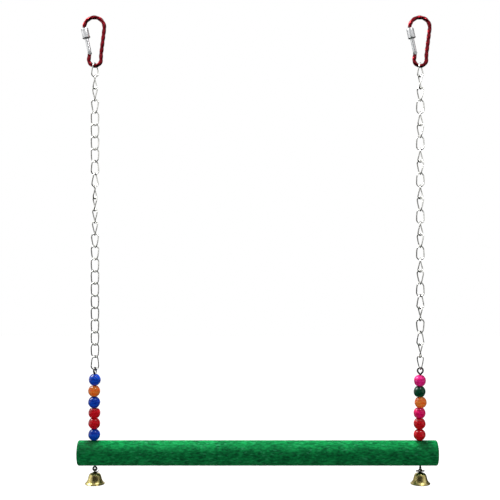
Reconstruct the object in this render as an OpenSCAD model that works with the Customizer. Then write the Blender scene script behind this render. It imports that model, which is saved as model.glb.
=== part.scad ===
// Bird swing: a round wooden perch hung on two eye pins, each strung with
// beads, a bell under each pin, and two chains of twisted links that end in
// carabiners with a sprung gate and a lock nut.
// X runs along the perch, Z is up, and z = 0 is the bells' rims.

/* [Perch] */
// Length of the perch
perch_l = 300; // [220:5:400]
// Diameter of the perch
perch_d = 21; // [18:0.5:28]
// Rounding of the edge at each end of the perch
perch_round = 2.4; // [0.8:0.1:4]
// Distance of each eye pin from its end of the perch
pin_inset = 14; // [12:0.5:30]

/* [Eye pins] */
// Diameter of the pins' wire
pin_wire_d = 1.5; // [1.2:0.05:1.8]
// Outer width of the eye on top of a pin
eye_w = 6.1; // [5.8:0.05:7]
// Distance from the centre of the top eye down to its neck
eye_neck_l = 3.6; // [3.3:0.05:4.2]
// Outer width of the ring at the bottom of a pin
ring_w = 4.5; // [4.3:0.05:5.2]

/* [Beads] */
// Diameter of a bead
bead_d = 10.2; // [8:0.1:12]
// Diameter of the hole through a bead
bead_bore_d = 3; // [2.4:0.1:3.6]
// Depth of the bevel at both ends of that hole
bead_bevel = 0.5; // [0.3:0.05:0.7]

/* [Bells] */
// Diameter of a bell's rim
bell_d = 16.8; // [15:0.1:20]
// Height of a bell's shell
bell_h = 9.3; // [8.8:0.1:12]
// Thickness of a bell's wall
bell_wall = 0.5; // [0.4:0.05:0.7]
// Diameter of the wire of a bell's hanging loop
loop_wire_d = 0.8; // [0.7:0.05:0.9]
// Diameter of the ball on a bell's clapper
clapper_ball_d = 3; // [2.4:0.1:3.6]

/* [Chains] */
// Diameter of the links' wire
link_wire_d = 1.1; // [0.9:0.05:1.2]
// Length of the opening in a link
link_in_l = 10.45; // [9.5:0.05:12]
// Width of the opening in a link
link_in_w = 5; // [4.8:0.05:5.6]
// Links in each of the seven runs that make up the middle of a chain
run_links = 3; // [2:1:4]

/* [Carabiners] */
// Width of the carabiner's rod across its rounded edges
rod_d = 3.4; // [3:0.05:3.6]
// Radius of the bottom bend, to the middle of the rod
bow_r = 5.1; // [5:0.05:6]
// Radius of the top bend, to the middle of the rod
crown_r = 8.4; // [8:0.05:9.5]
// Height of the top bend's centre above the bottom bend's centre
crown_rise = 27; // [26:0.1:34]
// Distance of the top bend's centre from the hanging line, towards the gate
crown_shift = 0.5; // [0:0.1:1]
// Height of the bend in the spine above the bottom bend's centre
spine_bend_rise = 4.2; // [3:0.1:6]
// Radius of that bend
spine_bend_r = 16; // [10:1:24]
// Distance of the gate's pivot from the hanging line
pivot_out = 4.3; // [4.1:0.05:4.8]
// Height of the gate's pivot above the bottom bend's centre
pivot_rise = 5.7; // [5.5:0.1:7]
// Diameter of the gate
gate_d = 3.1; // [2.9:0.05:3.2]
// Diameter of the lock nut's sleeve
nut_d = 5.9; // [5.8:0.05:6.6]
// Length of the lock nut
nut_l = 8.5; // [7:0.1:10]

/* [Hidden] */
// Circle segments of ordinary round parts and of thin wires
$fn = 48;
wire_fn = 24;

// Clearances
wire_gap = 0.25;       // between two linked wires of the chain
loop_gap = 0.15;       // between a ring and the wire that it turns on
bead_gap = 0.1;        // between two beads, and under the lowest one
run_gap = 0.05;        // round a shaft in its hole
face_gap = 0.1;        // between flat faces that turn past each other
seat_gap = 0.3;        // between a rounded end and what it bears on
overrun = 1;           // by which a cut runs past the face that it opens

// Beads of each stack from the perch up, as shares of a bead's diameter
left_bead_shares = [0.93, 0.91, 0.78, 0.95, 0.87, 0.96];
right_bead_shares = [0.92, 0.89, 0.83, 0.89, 0.85, 0.91];
left_bead_colours = ["#1246b0", "#c01420", "#c01420", "#1246b0", "#f27016", "#1246b0"];
right_bead_colours = ["#c01420", "#c01420", "#c81478", "#f27016", "#0a4632", "#d81474"];

// Angles of the links about the chain: each step turns a link on from the one
// above it by 0 to 60, and a chain with more links goes on with its last step
left_link_steps = [50, 38, 32, 30, 30, 0, 0, 0, 30, 30, 30, 20, 10, 5, 25, 15, 15,
                   0, 0, 0, 0, 0, 0, 0, 30];
right_link_steps = [50, 38, 32, 60, 60, 60, 60, 60, 60, 60, 60, 60, 60, 60, 60, 60, 60,
                    60, 60, 30, 60, 60, 60, 60, 30];
// Twist of a link about its own length, from its bottom bend to its top bend
link_twist_angle = 60;
// Facets round a link's wire, along each of its bends, and rings on its sides
link_sides = 6;
link_bend_steps = 6;
link_side_rings = 2;

// Direction that each pin's wire eyes face, measured from the front
left_eye_angle = 75;
right_eye_angle = 0;
left_ring_angle = 0;
right_ring_angle = 90;

// Bell outline from the rim to the top, as shares of its radius and height
bell_shares = [[1, 0], [0.99, 0.06], [0.9, 0.14], [0.8, 0.25], [0.72, 0.4],
               [0.67, 0.56], [0.63, 0.72], [0.58, 0.85], [0.49, 0.95], [0.38, 1]];

// Bell's hanging loop and clapper
loop_rise = 0.4;                          // stem seen between bell and loop
loop_stem_d = 1.6;
loop_collar_d = 3.2;
loop_collar_h = 0.4;
inner_wire_d = 0.7;                       // small ring that holds the clapper
inner_ring_r = 0.9;
clapper_wire_d = 0.6;
clapper_rise = 0.4;                       // ball's lowest point over the rim

// Carabiner's rod: a square bar with rounded edges, twisted along its length
rod_sides = 8;                            // four wide sides and four rounded edges
rod_edge_angle = 12;                      // half of the angle that an edge takes up
rod_step = 1.5;                           // distance between two rings of the rod
rod_step_angle = -26;                     // left-handed twist from one ring to the next

// Carabiner's gate, tongue, rivet, spring and nut
tongue_t = 1.4;                           // thickness of the rod's flattened end
tongue_w = 2.9;
slot_w = tongue_t + 2 * face_gap;
rivet_d = 1.2;
rivet_head_d = 2.1;
rivet_head_h = 0.35;
spring_bore_d = 1.6;
spring_bore_l = 9;
plunger_d = spring_bore_d - 2 * run_gap;
plunger_l = 2.1;
spring_wire_d = 0.28;
spring_turns = 6;
spring_sides = 5;
spring_steps = 10;                        // rings in each turn of the spring
nut_collar_w = 0.35;                      // collar's rim round the nut's sleeve
nut_collar_h = 1.1;
nut_socket_d = 4.7;                       // wide mouth that slips over the nose
nut_socket_l = 2.4;
nut_seat = 0.9;                           // nut's rest below the nose's end

// Radii to the middle of the wire
eye_r = (eye_w - pin_wire_d) / 2;
ring_r = (ring_w - pin_wire_d) / 2;
loop_r = (pin_wire_d + loop_wire_d) / 2 + loop_gap;
clapper_ring_r = (inner_wire_d + clapper_wire_d) / 2 + face_gap;
link_r = (link_in_w + link_wire_d) / 2;
link_half = (link_in_l - link_in_w) / 2;
link_reach = link_half + link_r;
link_pitch = link_in_l - wire_gap;

// Heights from the bells' rims up
collar_z = bell_h - bell_wall - face_gap - loop_collar_h;
inner_ring_z = collar_z - inner_ring_r;
loop_z = bell_h + loop_rise + loop_wire_d / 2 + loop_r;
ring_z = loop_z + ring_r;
perch_z = ring_z + ring_r + pin_wire_d / 2 + seat_gap + perch_d / 2;
perch_top = perch_z + perch_d / 2;
function sum_to(list, n) = n <= 0 ? 0 : list[n - 1] + sum_to(list, n - 1);
function bead_low(shares, n) = perch_top + bead_gap + sum_to(shares, n) * bead_d + n * bead_gap;
bead_count = len(left_bead_shares);
stack_top = max(bead_low(left_bead_shares, bead_count),
                bead_low(right_bead_shares, bead_count)) - bead_gap;
eye_z = stack_top + eye_neck_l - bead_bevel - seat_gap;
eye_top_in = eye_z + eye_r - pin_wire_d / 2;

// Chain: two single links, seven runs and two single links
run_count = 7;
end_links = 2;
link_count = 2 * end_links + run_count * run_links;
function link_turn(steps, n) =
    n <= 0 ? 0 : steps[min(n, len(steps)) - 1] + link_turn(steps, n - 1);
function link_z(n) = eye_top_in - wire_gap + link_in_l / 2 + (link_count - n) * link_pitch;

// Carabiner, in its own plane: x across it and y up, from the rod's middle at
// the bottom of the lower bend
bow_z = link_z(1) + link_in_l / 2 - wire_gap - rod_d / 2;
bow_c = [0, bow_r];
crown_c = [-crown_shift, bow_r + crown_rise];
bend_p = [bow_r, bow_r + spine_bend_rise];
nose_p = crown_c - [crown_r, 0];
pivot_p = [-pivot_out, bow_r + pivot_rise];
gate_v = (nose_p - pivot_p) / norm(nose_p - pivot_p);
gate_l = norm(nose_p - pivot_p) - rod_d / 2 * abs(gate_v[0]) - seat_gap;
gate_turn = atan2(-gate_v[0], gate_v[1]);
tongue_r = tongue_w / 2;
tongue_l = tongue_r + seat_gap;
slot_l = tongue_r + seat_gap;
nut_low = norm(nose_p - pivot_p) - nut_seat - nut_l;

// Angle at a circle's centre to the point where a line from p touches it
function touch_angle(p, centre, r, side) =
    atan2(p[1] - centre[1], p[0] - centre[0]) + side * acos(r / norm(p - centre));
function on_circle(centre, r, angle) = centre + r * [cos(angle), sin(angle)];
bow_from = touch_angle(pivot_p, bow_c, bow_r, 1);
spine_to = touch_angle(bend_p, crown_c, crown_r, 1);
bow_p = on_circle(bow_c, bow_r, bow_from);
spine_p = on_circle(crown_c, crown_r, spine_to);
tongue_v = (pivot_p - bow_p) / norm(pivot_p - bow_p);
rod_end = pivot_p - tongue_l * tongue_v;
spine_v = (spine_p - bend_p) / norm(spine_p - bend_p);
spine_turn = atan2(spine_v[0], spine_v[1]);
bend_c = bend_p + [spine_bend_r, -spine_bend_r * tan(spine_turn / 2)];

// Places of the two sides
side_x = perch_l / 2 - pin_inset;

SIDES = ["left", "right"];
RUNS = [for (i = [1:run_count]) i];
BEADS = [for (i = [1:bead_count]) i];

// A bent wire: part of a ring in the XZ plane, from one angle on through a span
module wire_arc(r, wire_d, from = 0, span = 360) {
    rotate([90, 0, 0]) rotate([0, 0, from]) rotate_extrude(angle = span)
        translate([r, 0]) circle(d = wire_d, $fn = wire_fn);
}

// A straight round wire in the XZ plane between two points
module wire_line(p, q, wire_d) {
    v = q - p;
    translate([p[0], 0, p[1]]) rotate([0, atan2(v[0], v[1]), 0])
        cylinder(h = norm(v), d = wire_d, $fn = wire_fn);
}

// Perch, turned round along X, with a drilled hole for each pin
module perch() {
    body_l = perch_l - 2 * perch_round;
    color("#0f8a3c") difference() {
        translate([-perch_l / 2, 0, perch_z]) rotate([0, 90, 0]) rotate_extrude() union() {
            square([perch_d / 2 - perch_round, perch_l]);
            translate([0, perch_round]) square([perch_d / 2, body_l]);
            for (end = [perch_round, perch_l - perch_round])
                translate([perch_d / 2 - perch_round, end]) circle(r = perch_round);
        }
        for (x = [-side_x, side_x])
            translate([x, 0, perch_z - perch_d / 2 - overrun])
                cylinder(h = perch_d + 2 * overrun, d = pin_wire_d + 2 * run_gap);
    }
}

// Eye pin: a teardrop eye on top, a straight stem and a closed ring below
module eye_pin(x, eye_turn, ring_turn) {
    neck_z = eye_z - eye_neck_l;
    touch = acos(eye_r / eye_neck_l);
    color("#6f7276") translate([x, 0, 0]) {
        translate([0, 0, ring_z + ring_r])
            cylinder(h = neck_z - ring_z - ring_r, d = pin_wire_d, $fn = wire_fn);
        translate([0, 0, neck_z]) sphere(d = pin_wire_d, $fn = wire_fn);
        rotate([0, 0, ring_turn]) translate([0, 0, ring_z]) wire_arc(ring_r, pin_wire_d);
        rotate([0, 0, eye_turn]) translate([0, 0, eye_z]) {
            wire_arc(eye_r, pin_wire_d, touch - 90, 360 - 2 * touch);
            for (side = [-1, 1])
                wire_line([0, -eye_neck_l],
                          on_circle([0, 0], eye_r, -90 + side * touch), pin_wire_d);
        }
    }
}

// Bead: a ball with flattened ends and a bevelled hole
module bead(x, shares, n, colour) {
    h = shares[n - 1] * bead_d;
    bore_r = bead_bore_d / 2;
    color(colour) translate([x, 0, bead_low(shares, n - 1) + h / 2]) rotate_extrude() difference() {
        intersection() {
            circle(d = bead_d);
            translate([bore_r, -h / 2]) square([bead_d, h]);
        }
        for (end = [-1, 1])
            polygon([[0, end * (h / 2 + bore_r)],
                     [2 * bore_r + bead_bevel, end * (h / 2 + bore_r)],
                     [0, end * (h / 2 - bore_r - bead_bevel)]]);
    }
}

// Bell's hanging loop: a ring round the pin's ring, a stem through the bell's
// top, a collar that carries the shell and a small ring for the clapper
module bell_loop(x, turn) {
    stem_top = bell_h + loop_rise + loop_wire_d / 2;
    color("#b9a15a") translate([x, 0, 0]) rotate([0, 0, turn]) {
        translate([0, 0, loop_z]) wire_arc(loop_r, loop_wire_d);
        translate([0, 0, collar_z]) cylinder(h = stem_top - collar_z, d = loop_stem_d);
        translate([0, 0, collar_z]) cylinder(h = loop_collar_h, d = loop_collar_d);
        translate([0, 0, inner_ring_z]) wire_arc(inner_ring_r, inner_wire_d);
    }
}

// Bell's shell: one turned wall with a hole in its top
module bell_shell(x) {
    r = bell_d / 2;
    top_r = loop_stem_d / 2 + run_gap;
    last = len(bell_shares) - 1;
    outer = [for (p = bell_shares) [p[0] * r, p[1] * bell_h]];
    inner = [for (i = [last:-1:0])
        [bell_shares[i][0] * r - bell_wall, bell_shares[i][1] * (bell_h - bell_wall)]];
    color("#cdb765") translate([x, 0, 0]) rotate_extrude()
        polygon(concat(outer, [[top_r, bell_h], [top_r, bell_h - bell_wall]], inner));
}

// Clapper: a small ring, a wire and a ball
module bell_clapper(x, turn) {
    hang_z = inner_ring_z - inner_ring_r;
    ball_z = clapper_rise + clapper_ball_d / 2;
    color("#9a8446") translate([x, 0, 0]) rotate([0, 0, turn + 90]) {
        translate([0, 0, hang_z]) wire_arc(clapper_ring_r, clapper_wire_d);
        translate([0, 0, ball_z])
            cylinder(h = hang_z - clapper_ring_r - ball_z, d = clapper_wire_d, $fn = wire_fn);
        translate([0, 0, ball_z]) sphere(d = clapper_ball_d);
    }
}

// Outline of a link's middle line: two half rounds and two straight sides
function link_line() = concat(
    [for (i = [0:link_bend_steps]) let (a = 180 * i / link_bend_steps)
        [link_r * cos(a), link_half + link_r * sin(a)]],
    [for (i = [1:link_side_rings])
        [-link_r, link_half - 2 * link_half * i / (link_side_rings + 1)]],
    [for (i = [0:link_bend_steps]) let (a = 180 * i / link_bend_steps)
        [-link_r * cos(a), -link_half - link_r * sin(a)]],
    [for (i = [1:link_side_rings])
        [link_r, -link_half + 2 * link_half * i / (link_side_rings + 1)]]
);
function link_azimuth(p) = link_twist_angle / 2 * p[1] / link_reach;
function twisted(p) = [p[0] * cos(link_azimuth(p)), p[0] * sin(link_azimuth(p)), p[1]];
function unit(v) = v / norm(v);

// Rings of points round a closed middle line, each square to it
function ring_points(line) = let (n = len(line), path = [for (p = line) twisted(p)]) [
    for (i = [0:n - 1])
        let (along = unit(path[(i + 1) % n] - path[(i + n - 1) % n]),
             a = link_azimuth(line[i]),
             flat = [-sin(a), cos(a), 0],
             side = unit(flat - (flat * along) * along),
             up = cross(along, side))
        for (k = [0:link_sides - 1])
            path[i] + link_wire_d / 2 * (cos(360 * k / link_sides) * side
                                         + sin(360 * k / link_sides) * up)
];
function closed_tube_faces(rings, sides) = [
    for (i = [0:rings - 1]) for (k = [0:sides - 1])
        let (a = i * sides + k, b = i * sides + (k + 1) % sides,
             next = ((i + 1) % rings) * sides,
             c = next + k, d = next + (k + 1) % sides)
        each [[a, b, d], [a, d, c]]
];

// One link of a chain, counted from the carabiner down
module link(x, steps, n) {
    line = link_line();
    color("#b4b8bc") translate([x, 0, link_z(n)]) rotate([0, 0, link_turn(steps, n)])
        polyhedron(points = ring_points(line), faces = closed_tube_faces(len(line), link_sides));
}

// One of the runs of links between a chain's single end links
module chain_run(x, steps, run) {
    first = end_links + (run - 1) * run_links + 1;
    for (n = [first:first + run_links - 1]) link(x, steps, n);
}

// Points along the rod's middle line, from the tongue round to the nose
function line_points(p, q) = let (n = ceil(norm(q - p) / rod_step))
    [for (i = [0:n - 1]) p + (q - p) * i / n];
function arc_points(centre, r, from, to) = let (n = ceil(PI * r * abs(to - from) / 180 / rod_step))
    [for (i = [0:n - 1]) on_circle(centre, r, from + (to - from) * i / n)];
function rod_line() = concat(
    line_points(rod_end, bow_p),
    arc_points(bow_c, bow_r, bow_from, 360),
    line_points([bow_r, bow_r], on_circle(bend_c, spine_bend_r, 180)),
    arc_points(bend_c, spine_bend_r, 180, 180 - spine_turn),
    line_points(on_circle(bend_c, spine_bend_r, 180 - spine_turn), spine_p),
    arc_points(crown_c, crown_r, spine_to, 180),
    [nose_p]
);
function rod_points(line) = let (last = len(line) - 1) [
    for (i = [0:last])
        let (along = i == 0 ? -tongue_v : i == last ? [0, -1] : unit(line[i + 1] - line[i - 1]))
        for (edge = [45:90:315], side = [-1, 1])
            let (a = edge + side * rod_edge_angle + i * rod_step_angle,
                 p = line[i] + rod_d / 2 * cos(a) * [along[1], -along[0]])
            [p[0], rod_d / 2 * sin(a), p[1]]
];

// Carabiner's rod, bent in one plane, with a flat tongue at the gate's pivot
module carabiner_body(x) {
    line = rod_line();
    tongue_turn = atan2(tongue_v[0], tongue_v[1]);
    color("#a01024") translate([x, 0, bow_z]) {
        polyhedron(points = rod_points(line), faces = open_tube_faces(len(line), rod_sides));
        translate([pivot_p[0], 0, pivot_p[1]]) difference() {
            union() {
                rotate([90, 0, 0])
                    cylinder(h = tongue_t, r = tongue_r, center = true, $fn = wire_fn);
                rotate([0, tongue_turn, 0])
                    translate([-tongue_r, -tongue_t / 2, -tongue_l - seat_gap])
                        cube([2 * tongue_r, tongue_t, tongue_l + seat_gap]);
            }
            rotate([90, 0, 0])
                cylinder(h = rod_d, d = rivet_d + 2 * run_gap, center = true, $fn = wire_fn);
        }
    }
}

// Puts the gate's own parts on its axis: z runs from the pivot to the nose
module on_gate(x) {
    translate([x + pivot_p[0], 0, bow_z + pivot_p[1]]) rotate([0, -gate_turn, 0]) children();
}

// Gate: a rod with a forked lower end and a blind bore for its spring
module carabiner_gate(x) {
    color("#d4d6d8") on_gate(x) difference() {
        union() {
            cylinder(h = gate_l, d = gate_d, $fn = wire_fn);
            rotate([90, 0, 0]) cylinder(h = gate_d, d = gate_d, center = true, $fn = wire_fn);
        }
        translate([-gate_d, -slot_w / 2, -gate_d]) cube([2 * gate_d, slot_w, gate_d + slot_l]);
        rotate([90, 0, 0])
            cylinder(h = 2 * gate_d, d = rivet_d + 2 * run_gap, center = true, $fn = wire_fn);
        cylinder(h = slot_l + spring_bore_l, d = spring_bore_d, $fn = wire_fn);
    }
}

// Rivet through the tongue and the gate's fork, with two flat heads
module carabiner_rivet(x) {
    head_y = gate_d / 2 + run_gap;
    color("#e4e6e8") on_gate(x) rotate([90, 0, 0]) {
        cylinder(h = 2 * (head_y + rivet_head_h), d = rivet_d, center = true, $fn = wire_fn);
        for (side = [-1, 1]) translate([0, 0, side * (head_y + rivet_head_h / 2)])
            cylinder(h = rivet_head_h, d = rivet_head_d, center = true, $fn = wire_fn);
    }
}

// Plunger that bears on the tongue and pushes the gate shut
module carabiner_plunger(x) {
    color("#8d9196") on_gate(x) translate([0, 0, tongue_r + seat_gap])
        cylinder(h = plunger_l, d = plunger_d, $fn = wire_fn);
}

// Rings of points along the gate's spring, an open helix
function spring_points(low, high) =
    let (n = spring_turns * spring_steps, r = (spring_bore_d - spring_wire_d) / 2 - run_gap)
    [for (i = [0:n]) let (a = 360 * i / spring_steps, z = low + (high - low) * i / n)
        for (k = [0:spring_sides - 1])
            let (b = 360 * k / spring_sides, out = r + spring_wire_d / 2 * cos(b))
            [out * cos(a), out * sin(a), z + spring_wire_d / 2 * sin(b)]];
function open_tube_faces(rings, sides) = concat(
    [for (i = [0:rings - 2]) for (k = [0:sides - 1])
        let (a = i * sides + k, b = i * sides + (k + 1) % sides)
        each [[a, b + sides, b], [a, a + sides, b + sides]]],
    [[for (k = [0:sides - 1]) k], [for (k = [sides - 1:-1:0]) (rings - 1) * sides + k]]
);

// Coil spring in the gate's bore, between the plunger and the bore's end
module carabiner_spring(x) {
    low = tongue_r + seat_gap + plunger_l + face_gap + spring_wire_d / 2;
    high = slot_l + spring_bore_l - face_gap - spring_wire_d / 2;
    color("#8d9196") on_gate(x)
        polyhedron(points = spring_points(low, high),
                   faces = open_tube_faces(spring_turns * spring_steps + 1, spring_sides));
}

// Lock nut: a sleeve that runs on the gate, with a wide mouth for the nose
module carabiner_lock_nut(x) {
    color("#dfe0e2") on_gate(x) translate([0, 0, nut_low]) difference() {
        union() {
            cylinder(h = nut_l, d = nut_d);
            cylinder(h = nut_collar_h, d = nut_d + 2 * nut_collar_w);
        }
        translate([0, 0, -overrun]) cylinder(h = nut_l + 2 * overrun, d = gate_d + 2 * run_gap);
        translate([0, 0, nut_l - nut_socket_l]) cylinder(h = nut_socket_l + overrun, d = nut_socket_d);
    }
}

perch();

for (left = [true, false]) {
    name = left ? "left" : "right";
    x = left ? -side_x : side_x;
    steps = left ? left_link_steps : right_link_steps;
    shares = left ? left_bead_shares : right_bead_shares;
    colours = left ? left_bead_colours : right_bead_colours;
    ring_turn = left ? left_ring_angle : right_ring_angle;
    eye_pin(x, left ? left_eye_angle : right_eye_angle, ring_turn);
    for (i = BEADS)
        bead(x, shares, i, colours[i - 1]);
    bell_loop(x, ring_turn + 90);
    bell_shell(x);
    bell_clapper(x, ring_turn + 90);
    carabiner_body(x);
    carabiner_gate(x);
    carabiner_rivet(x);
    carabiner_plunger(x);
    carabiner_spring(x);
    carabiner_lock_nut(x);
    link(x, steps, 1);
    link(x, steps, 2);
    for (i = RUNS)
        chain_run(x, steps, i);
    link(x, steps, link_count - 1);
    link(x, steps, link_count);
}
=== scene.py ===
"""Bird swing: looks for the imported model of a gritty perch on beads, chains and carabiners."""

import logging
import math
from collections.abc import Callable, Iterable, Iterator, Sequence
from contextlib import contextmanager
from dataclasses import dataclass, field
from enum import Enum

import bmesh
import bpy
from mathutils import Matrix, Vector


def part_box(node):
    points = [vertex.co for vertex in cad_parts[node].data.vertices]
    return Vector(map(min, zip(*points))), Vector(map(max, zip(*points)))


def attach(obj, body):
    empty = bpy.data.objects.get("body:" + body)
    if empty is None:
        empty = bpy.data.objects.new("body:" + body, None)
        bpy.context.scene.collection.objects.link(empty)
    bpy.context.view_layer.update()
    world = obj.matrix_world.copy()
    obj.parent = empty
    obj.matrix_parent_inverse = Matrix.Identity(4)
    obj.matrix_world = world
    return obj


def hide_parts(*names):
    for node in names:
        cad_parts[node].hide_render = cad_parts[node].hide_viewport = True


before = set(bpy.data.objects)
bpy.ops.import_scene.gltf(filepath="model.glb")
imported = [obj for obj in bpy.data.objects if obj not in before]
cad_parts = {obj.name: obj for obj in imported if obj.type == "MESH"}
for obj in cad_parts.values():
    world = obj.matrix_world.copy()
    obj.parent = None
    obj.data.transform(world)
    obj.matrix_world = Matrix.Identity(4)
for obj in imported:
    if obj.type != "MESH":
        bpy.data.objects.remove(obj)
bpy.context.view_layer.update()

Colour = tuple[float, float, float, float]
Outline = list[tuple[float, float]]
Spot = tuple[float, float, float]
Socket = bpy.types.NodeSocket
Piece = bpy.types.Object

LOG = logging.getLogger("bird_swing")
MM = 0.001
WHITE: Colour = (1, 1, 1, 1)

# How near to a place a point is when it counts as there
NEAR = 0.02 * MM

# A direction's share along an axis, under which it runs across it and over which along it
ACROSS = 0.2
ALONG = 0.9

# Turns that lay a primitive's axis, which starts along Z, along another one
ALONG_X: Spot = (0, math.pi / 2, 0)
ALONG_Y: Spot = (math.pi / 2, 0, 0)


class Side(Enum):
    """The two ends of the perch, as the camera sees them."""

    LEFT = "left"
    RIGHT = "right"


class Part(Enum):
    """The parts of a mesh that can be picked in edit mode."""

    POINTS = "VERT"
    EDGES = "EDGE"
    FACES = "FACE"


class Work(Enum):
    """What a boolean does with its tool."""

    ADD = "UNION"
    CUT = "DIFFERENCE"


class Solver(Enum):
    """How a boolean is worked out."""

    EXACT = "EXACT"
    MANIFOLD = "MANIFOLD"


class Sum(Enum):
    """The sums that a finish works out."""

    ADD = "ADD"
    MULTIPLY = "MULTIPLY"
    MAXIMUM = "MAXIMUM"


class Blend(Enum):
    """How two colours are mixed."""

    MIX = "MIX"
    MULTIPLY = "MULTIPLY"


class Rays(Enum):
    """The kinds of rays that a lamp or a card can be hidden from."""

    CAMERA = "visible_camera"
    DIFFUSE = "visible_diffuse"
    GLOSSY = "visible_glossy"
    SHADOW = "visible_shadow"
    TRANSMISSION = "visible_transmission"


def srgb(red: int, green: int, blue: int) -> Colour:
    """Turn a colour as a picture shows it into the linear one that a shader takes.

    Args:
        red: Red, from 0 to 255.
        green: Green, from 0 to 255.
        blue: Blue, from 0 to 255.

    Returns:
        The linear colour with full opacity.
    """
    shares = [value / 255 for value in (red, green, blue)]
    linear = [share / 12.92 if share <= 0.04045 else ((share + 0.055) / 1.055) ** 2.4
              for share in shares]
    return (*linear, 1.0)


# Modelling steps

def clear_selection() -> None:
    """Leave object mode on and nothing selected."""
    if bpy.context.mode != "OBJECT":
        bpy.ops.object.mode_set(mode="OBJECT")
    bpy.ops.object.select_all(action="DESELECT")


def hold(piece: Piece) -> None:
    """Make a piece the only one selected, and the active one.

    Args:
        piece: The object to work on next.
    """
    clear_selection()
    piece.select_set(True)
    bpy.context.view_layer.objects.active = piece


def named(name: str) -> Piece:
    """Name the object that an operator has just added.

    Args:
        name: The name for the object and its data.

    Returns:
        The new object.
    """
    piece = bpy.context.active_object
    piece.name = name
    piece.data.name = name
    return piece


@contextmanager
def editing(piece: Piece) -> Iterator[None]:
    """Work on a piece in edit mode, with nothing of it selected at the start.

    Args:
        piece: The mesh to edit.
    """
    hold(piece)
    bpy.ops.object.mode_set(mode="EDIT")
    bpy.ops.mesh.select_all(action="DESELECT")
    yield
    bpy.ops.object.mode_set(mode="OBJECT")


def pick(piece: Piece, part: Part, test: Callable[[Vector, Vector], bool]) -> None:
    """Select the parts of an edited mesh that pass a test, and no others.

    Args:
        piece: The mesh, in edit mode.
        part: Which kind of part to pick.
        test: Takes a part's middle and its normal, or an edge's direction.
    """
    bpy.ops.mesh.select_mode(type=part.value)
    bpy.ops.mesh.select_all(action="DESELECT")
    mesh = bmesh.from_edit_mesh(piece.data)
    mesh.normal_update()
    if part is Part.POINTS:
        chosen = [point for point in mesh.verts if test(point.co, point.normal)]
    elif part is Part.EDGES:
        chosen = [edge for edge in mesh.edges
                  if test((edge.verts[0].co + edge.verts[1].co) / 2,
                          (edge.verts[0].co - edge.verts[1].co).normalized())]
    else:
        chosen = [face for face in mesh.faces if test(face.calc_center_median(), face.normal)]
    for element in chosen:
        element.select_set(True)
    mesh.select_flush_mode()
    bmesh.update_edit_mesh(piece.data)


def apply_modifier(piece: Piece, kind: str, **settings: object) -> None:
    """Add a modifier to a piece and apply it.

    Args:
        piece: The mesh.
        kind: The modifier's type.
        **settings: The modifier's own settings.
    """
    hold(piece)
    modifier = piece.modifiers.new(kind.lower(), kind)
    for name, value in settings.items():
        setattr(modifier, name, value)
    bpy.ops.object.modifier_apply(modifier=modifier.name)


def settle(piece: Piece, place: Matrix | None = None) -> Piece:
    """Move a piece to its place, and put that place into its mesh.

    Args:
        piece: The mesh, made about the origin or already in place.
        place: Where it goes, or None if it is there already.

    Returns:
        The same piece, with its object at the origin.
    """
    hold(piece)
    if place is not None:
        piece.matrix_world = place @ piece.matrix_world
    bpy.ops.object.transform_apply(location=True, rotation=True, scale=True)
    return piece


def face_outwards(piece: Piece) -> None:
    """Merge doubled points and turn every face of a closed mesh outwards.

    Args:
        piece: The closed mesh.
    """
    with editing(piece):
        bpy.ops.mesh.select_all(action="SELECT")
        bpy.ops.mesh.remove_doubles(threshold=NEAR / 10)
        bpy.ops.mesh.normals_make_consistent(inside=False)


def smooth(piece: Piece, angle: float) -> None:
    """Shade a piece smooth, except over edges sharper than an angle in degrees."""
    hold(piece)
    bpy.ops.object.shade_smooth_by_angle(angle=math.radians(angle))


def twin(piece: Piece, name: str) -> Piece:
    """Copy a piece with a mesh of its own.

    Args:
        piece: The piece to copy.
        name: The copy's name.

    Returns:
        The copy.
    """
    copy = piece.copy()
    copy.data = piece.data.copy()
    copy.name = name
    copy.data.name = name
    bpy.context.scene.collection.objects.link(copy)
    return copy


def joined(pieces: list[Piece], name: str) -> Piece:
    """Join pieces that are one solid body into one object.

    Args:
        pieces: The meshes to join.
        name: The name of the result.

    Returns:
        The joined piece.
    """
    hold(pieces[0])
    for piece in pieces[1:]:
        piece.select_set(True)
    if len(pieces) > 1:
        bpy.ops.object.join()
    return named(name)


def combine(piece: Piece, tool: Piece, work: Work, solver: Solver = Solver.EXACT) -> None:
    """Add a tool's solid to a piece or cut it away, and use the tool up.

    Args:
        piece: The mesh that stays.
        tool: The mesh that is added or cut.
        work: Whether it is added or cut.
        solver: How the boolean is worked out.
    """
    apply_modifier(piece, "BOOLEAN", object=tool, operation=work.value, solver=solver.value)
    bpy.data.objects.remove(tool)


def drop(piece: Piece) -> None:
    """Delete a piece that was only a pattern or a section."""
    bpy.data.objects.remove(piece)


def cylinder(name: str, sides: int, radius: float, length: float, middle: Sequence[float],
             rotation: Sequence[float] = (0, 0, 0)) -> Piece:
    """Add a cylinder at its place, as the start of a piece or as a tool.

    Args:
        name: The piece's name.
        sides: Points in each rim.
        radius: The cylinder's radius.
        length: Its length.
        middle: Its middle.
        rotation: Its turn, from an axis along Z.

    Returns:
        The cylinder.
    """
    clear_selection()
    bpy.ops.mesh.primitive_cylinder_add(vertices=sides, radius=radius, depth=length,
                                        location=middle, rotation=rotation)
    return settle(named(name))


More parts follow.
